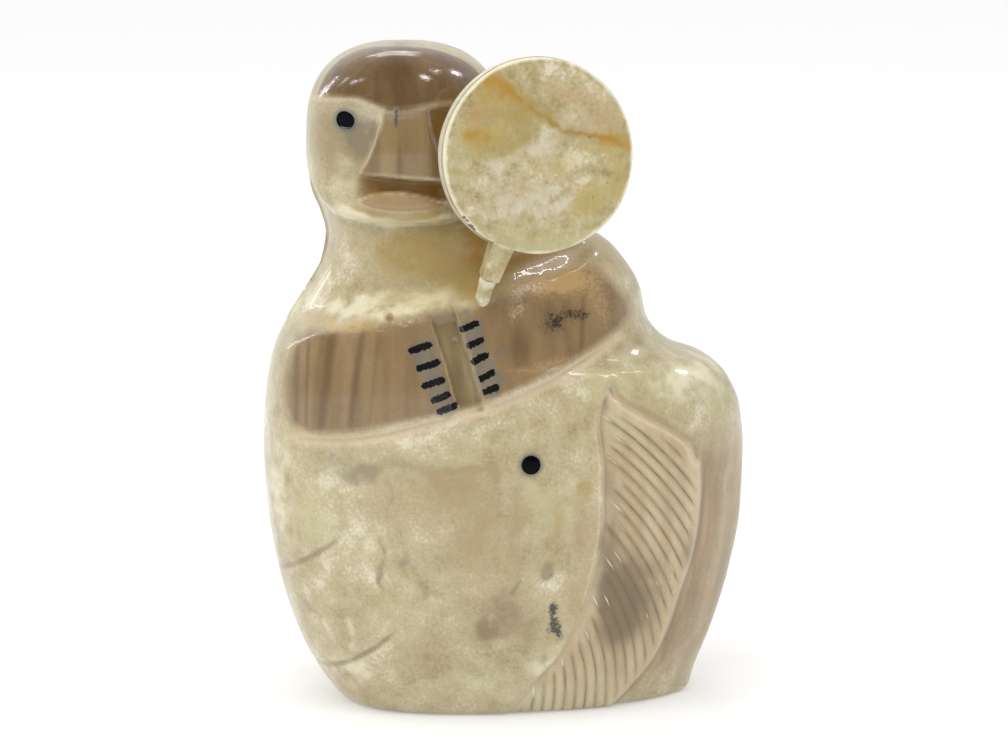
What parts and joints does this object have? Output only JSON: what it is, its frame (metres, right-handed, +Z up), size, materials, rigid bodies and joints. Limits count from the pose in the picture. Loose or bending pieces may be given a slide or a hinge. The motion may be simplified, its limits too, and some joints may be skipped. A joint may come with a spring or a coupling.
{
  "type": "ivory drummer carving",
  "caption": "Small carved tusk figure with a hooded head, rounded body and folded wing, holding up a round paddle drum on a short peg; it stands on its flat base.",
  "frame": {"origin": "in the flat underside that the carving stands on, below the middle of the body", "axes": "+Z up, -Y out of the carved front, +X towards the viewer's right"},
  "size_m": [0.0627, 0.0414, 0.086],
  "materials": {
    "polished_tusk": "hand polished, marbled cream core under a streaked brown outer layer",
    "marbled_tusk_core": "sawn and lightly polished, cream with ochre stains",
    "black_inlay": "polished"
  },
  "bodies": {
    "root": {"figure": "polished_tusk", "drum": "marbled_tusk_core", "drum_peg": "marbled_tusk_core", "eye_inlay_right": "black_inlay", "eye_inlay_left": "black_inlay", "belly_eye_inlay": "black_inlay"}
  },
  "joints": []
}
